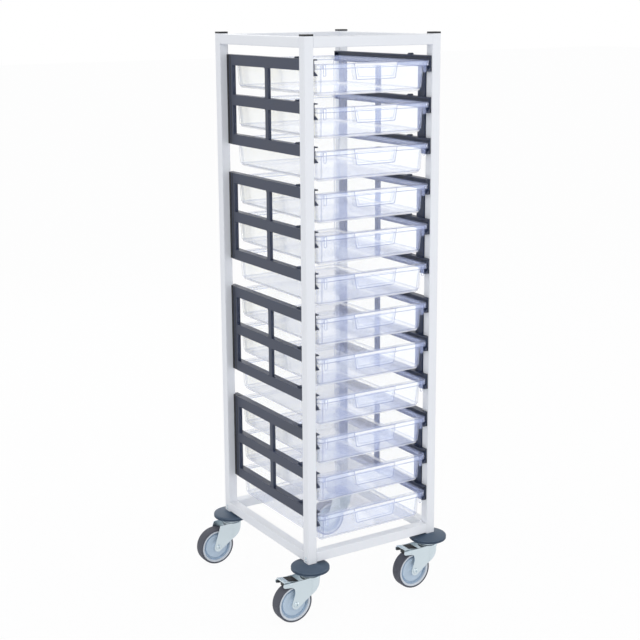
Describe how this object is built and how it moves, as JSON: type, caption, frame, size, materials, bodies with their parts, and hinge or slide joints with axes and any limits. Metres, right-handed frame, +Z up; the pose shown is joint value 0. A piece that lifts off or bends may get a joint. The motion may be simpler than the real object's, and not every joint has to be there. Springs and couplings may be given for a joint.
{
  "type": "dressing trolley",
  "caption": "Tall square-tube trolley on swivel castors, with clear pull-out trays sliding in moulded runner frames for dressings and small medical supplies.",
  "frame": {"origin": "bottom centre of the overall box, on the floor", "axes": "+Z up, front of the trays at -Y, castors trailing to -X"},
  "size_m": [0.52, 0.514, 1.4469],
  "materials": {
    "powder_coat": "white powder coat",
    "cap_plastic": "moulded black",
    "bumper": "soft slate-grey moulding",
    "runner_plastic": "moulded anthracite",
    "clear_plastic": "clear, glossy",
    "zinc": "bright zinc plate",
    "wheel_plastic": "moulded pale blue-grey",
    "tread": "dark grey tread"
  },
  "bodies": {
    "frame": {"post_front_left": "powder_coat", "post_front_right": "powder_coat", "post_rear_left": "powder_coat", "post_rear_right": "powder_coat", "top_rail_front": "powder_coat", "top_rail_rear": "powder_coat", "top_rail_left": "powder_coat", "top_rail_right": "powder_coat", "bottom_rail_front": "powder_coat", "bottom_rail_rear": "powder_coat", "bottom_rail_left": "powder_coat", "bottom_rail_right": "powder_coat", "end_cap_front_left": "cap_plastic", "end_cap_front_right": "cap_plastic", "end_cap_rear_left": "cap_plastic", "end_cap_rear_right": "cap_plastic", "bumper_front_left": "bumper", "bumper_front_right": "bumper", "bumper_rear_left": "bumper", "bumper_rear_right": "bumper", "runner_frame_left_1": "runner_plastic", "runner_frame_right_1": "runner_plastic", "runner_frame_left_2": "runner_plastic", "runner_frame_right_2": "runner_plastic", "runner_frame_left_3": "runner_plastic", "runner_frame_right_3": "runner_plastic", "runner_frame_left_4": "runner_plastic", "runner_frame_right_4": "runner_plastic", "castor_head_front_left": "zinc", "castor_head_front_right": "zinc", "castor_head_rear_left": "zinc", "castor_head_rear_right": "zinc"},
    "tray_01_body": {"tray_01": "clear_plastic"},
    "tray_02_body": {"tray_02": "clear_plastic"},
    "tray_03_body": {"tray_03": "clear_plastic"},
    "tray_04_body": {"tray_04": "clear_plastic"},
    "tray_05_body": {"tray_05": "clear_plastic"},
    "tray_06_body": {"tray_06": "clear_plastic"},
    "tray_07_body": {"tray_07": "clear_plastic"},
    "tray_08_body": {"tray_08": "clear_plastic"},
    "tray_09_body": {"tray_09": "clear_plastic"},
    "tray_10_body": {"tray_10": "clear_plastic"},
    "tray_11_body": {"tray_11": "clear_plastic"},
    "tray_12_body": {"tray_12": "clear_plastic"},
    "castor_front_left": {"castor_fork_front_left": "zinc", "brake_pin_front_left": "zinc"},
    "wheel_front_left": {"wheel_centre_front_left": "wheel_plastic", "tyre_front_left": "tread"},
    "pedal_front_left": {"brake_pedal_front_left": "zinc"},
    "castor_front_right": {"castor_fork_front_right": "zinc", "brake_pin_front_right": "zinc"},
    "wheel_front_right": {"wheel_centre_front_right": "wheel_plastic", "tyre_front_right": "tread"},
    "pedal_front_right": {"brake_pedal_front_right": "zinc"},
    "castor_rear_left": {"castor_fork_rear_left": "zinc"},
    "wheel_rear_left": {"wheel_centre_rear_left": "wheel_plastic", "tyre_rear_left": "tread"},
    "castor_rear_right": {"castor_fork_rear_right": "zinc"},
    "wheel_rear_right": {"wheel_centre_rear_right": "wheel_plastic", "tyre_rear_right": "tread"}
  },
  "joints": [
    {"name": "tray_01_slide", "type": "slide", "parent": "frame", "child": "tray_01_body", "axis": [0, -1, 0], "range_m": [0, 0.32]},
    {"name": "tray_02_slide", "type": "slide", "parent": "frame", "child": "tray_02_body", "axis": [0, -1, 0], "range_m": [0, 0.32]},
    {"name": "tray_03_slide", "type": "slide", "parent": "frame", "child": "tray_03_body", "axis": [0, -1, 0], "range_m": [0, 0.32]},
    {"name": "tray_04_slide", "type": "slide", "parent": "frame", "child": "tray_04_body", "axis": [0, -1, 0], "range_m": [0, 0.32]},
    {"name": "tray_05_slide", "type": "slide", "parent": "frame", "child": "tray_05_body", "axis": [0, -1, 0], "range_m": [0, 0.32]},
    {"name": "tray_06_slide", "type": "slide", "parent": "frame", "child": "tray_06_body", "axis": [0, -1, 0], "range_m": [0, 0.32]},
    {"name": "tray_07_slide", "type": "slide", "parent": "frame", "child": "tray_07_body", "axis": [0, -1, 0], "range_m": [0, 0.32]},
    {"name": "tray_08_slide", "type": "slide", "parent": "frame", "child": "tray_08_body", "axis": [0, -1, 0], "range_m": [0, 0.32]},
    {"name": "tray_09_slide", "type": "slide", "parent": "frame", "child": "tray_09_body", "axis": [0, -1, 0], "range_m": [0, 0.32]},
    {"name": "tray_10_slide", "type": "slide", "parent": "frame", "child": "tray_10_body", "axis": [0, -1, 0], "range_m": [0, 0.32]},
    {"name": "tray_11_slide", "type": "slide", "parent": "frame", "child": "tray_11_body", "axis": [0, -1, 0], "range_m": [0, 0.32]},
    {"name": "tray_12_slide", "type": "slide", "parent": "frame", "child": "tray_12_body", "axis": [0, -1, 0], "range_m": [0, 0.32]},
    {"name": "swivel_front_left", "type": "hinge", "parent": "frame", "child": "castor_front_left", "pos_m": [-0.156, -0.208, 0.11], "axis": [0, 0, 1], "continuous": true},
    {"name": "wheel_spin_front_left", "type": "hinge", "parent": "castor_front_left", "child": "wheel_front_left", "pos_m": [-0.21, -0.208, 0.05], "axis": [0, 1, 0], "continuous": true},
    {"name": "brake_front_left", "type": "hinge", "parent": "castor_front_left", "child": "pedal_front_left", "pos_m": [-0.226, -0.208, 0.1075], "axis": [0, -1, 0], "range_deg": [0, 8]},
    {"name": "swivel_front_right", "type": "hinge", "parent": "frame", "child": "castor_front_right", "pos_m": [0.211, -0.208, 0.11], "axis": [0, 0, 1], "continuous": true},
    {"name": "wheel_spin_front_right", "type": "hinge", "parent": "castor_front_right", "child": "wheel_front_right", "pos_m": [0.157, -0.208, 0.05], "axis": [0, 1, 0], "continuous": true},
    {"name": "brake_front_right", "type": "hinge", "parent": "castor_front_right", "child": "pedal_front_right", "pos_m": [0.141, -0.208, 0.1075], "axis": [0, -1, 0], "range_deg": [0, 8]},
    {"name": "swivel_rear_left", "type": "hinge", "parent": "frame", "child": "castor_rear_left", "pos_m": [-0.156, 0.208, 0.11], "axis": [0, 0, 1], "continuous": true},
    {"name": "wheel_spin_rear_left", "type": "hinge", "parent": "castor_rear_left", "child": "wheel_rear_left", "pos_m": [-0.21, 0.208, 0.05], "axis": [0, 1, 0], "continuous": true},
    {"name": "swivel_rear_right", "type": "hinge", "parent": "frame", "child": "castor_rear_right", "pos_m": [0.211, 0.208, 0.11], "axis": [0, 0, 1], "continuous": true},
    {"name": "wheel_spin_rear_right", "type": "hinge", "parent": "castor_rear_right", "child": "wheel_rear_right", "pos_m": [0.157, 0.208, 0.05], "axis": [0, 1, 0], "continuous": true}
  ]
}
